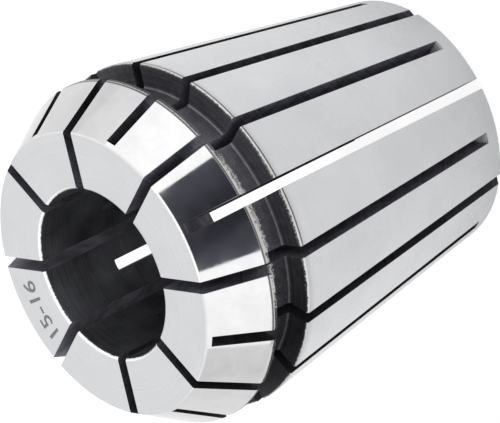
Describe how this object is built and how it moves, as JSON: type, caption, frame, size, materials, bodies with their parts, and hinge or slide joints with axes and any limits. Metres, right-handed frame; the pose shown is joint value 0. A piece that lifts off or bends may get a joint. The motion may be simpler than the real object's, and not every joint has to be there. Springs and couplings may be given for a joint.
{
  "type": "er collet",
  "caption": "Slotted spring collet: a sleeve with a long outside taper, a nut groove and a steep nose cone, sawn from both ends so that it closes evenly on a round shank.",
  "frame": {"origin": "centre of the rear face, on the bore's axis", "axes": "+Z along the bore's axis, from the rear face towards the nose face; +X lies in the plane of a slit that is open at the rear face"},
  "size_m": [0.033, 0.033, 0.04],
  "materials": {
    "ground_steel": "hardened spring steel, fine ground and satin"
  },
  "bodies": {
    "root": {"collet": "ground_steel"}
  },
  "joints": []
}
